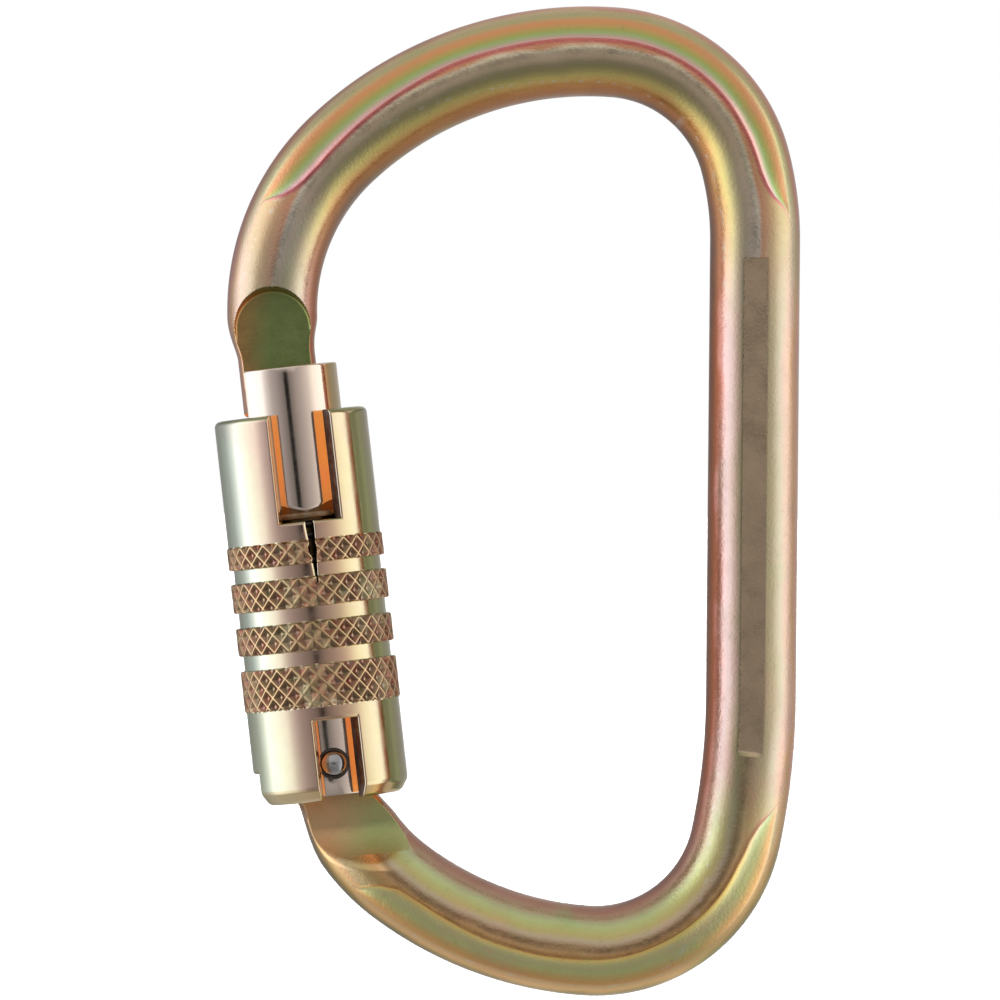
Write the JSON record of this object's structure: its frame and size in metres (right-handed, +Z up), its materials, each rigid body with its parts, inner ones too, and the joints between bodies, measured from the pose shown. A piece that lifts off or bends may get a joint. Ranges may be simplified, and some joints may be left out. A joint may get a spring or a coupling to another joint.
{
  "type": "locking carabiner",
  "caption": "D-shaped steel connector with a sprung inward-opening gate, closed by a knurled locking sleeve that is lifted and turned before the gate opens.",
  "frame": {"origin": "bearing point of the top basket: the highest point of the opening, on the bar's inner edge, in the plane of the ring", "axes": "+Z up along the straight spine, +X from the gate towards the spine, +Y to the back, square to the plane of the ring"},
  "size_m": [0.0778, 0.0208, 0.1319],
  "materials": {
    "frame": "forged steel, satin, yellow passivated zinc plating with faint green and rose tints",
    "gate_tube": "turned steel, bright, pale pinkish zinc plating",
    "hinge_rivet": "bare grey steel, polished dome",
    "spring_steel": "drawn spring wire, dull grey",
    "plunger": "turned steel, satin",
    "locking_sleeve": "turned steel with diamond-knurled bands, pale yellow zinc plating",
    "spring_ring": "pressed steel, satin, brownish yellow"
  },
  "bodies": {
    "frame": {"frame": "frame"},
    "gate": {"gate_tube": "gate_tube", "hinge_rivet": "hinge_rivet", "gate_spring": "spring_steel", "spring_stop_washer": "spring_ring", "sleeve_spring": "spring_steel"},
    "plunger": {"gate_plunger": "plunger"},
    "spring_seat": {"spring_seat_ring": "spring_ring"},
    "sleeve": {"locking_sleeve": "locking_sleeve"}
  },
  "joints": [
    {"name": "gate_swing", "type": "hinge", "parent": "frame", "child": "gate", "pos_m": [-0.03313, 0, -0.08905], "axis": [0, 1, 0], "range_deg": [0, 30], "stiffness_Nm_per_rad": 0.42, "springref_deg": -51.57},
    {"name": "plunger_slide", "type": "slide", "parent": "gate", "child": "plunger", "axis": [-0.1208, 0, 0.9927], "range_m": [0, 0.00095], "deforming": ["gate_spring"]},
    {"name": "sleeve_lift", "type": "slide", "parent": "gate", "child": "spring_seat", "axis": [-0.1208, 0, 0.9927], "range_m": [0, 0.0067], "stiffness_N_per_m": 600, "springref_m": -0.01, "deforming": ["sleeve_spring"]},
    {"name": "sleeve_twist", "type": "hinge", "parent": "spring_seat", "child": "sleeve", "pos_m": [-0.03383, 0, -0.08914], "axis": [0.1208, 0, -0.9927], "range_deg": [0, 98], "stiffness_Nm_per_rad": 0.02, "springref_deg": -34.38}
  ],
  "couplings": [
    {"joint": "sleeve_twist", "follows": "gate_swing", "ratio": 3.26},
    {"joint": "plunger_slide", "follows": "gate_swing", "m_per_rad": 0.0018}
  ]
}
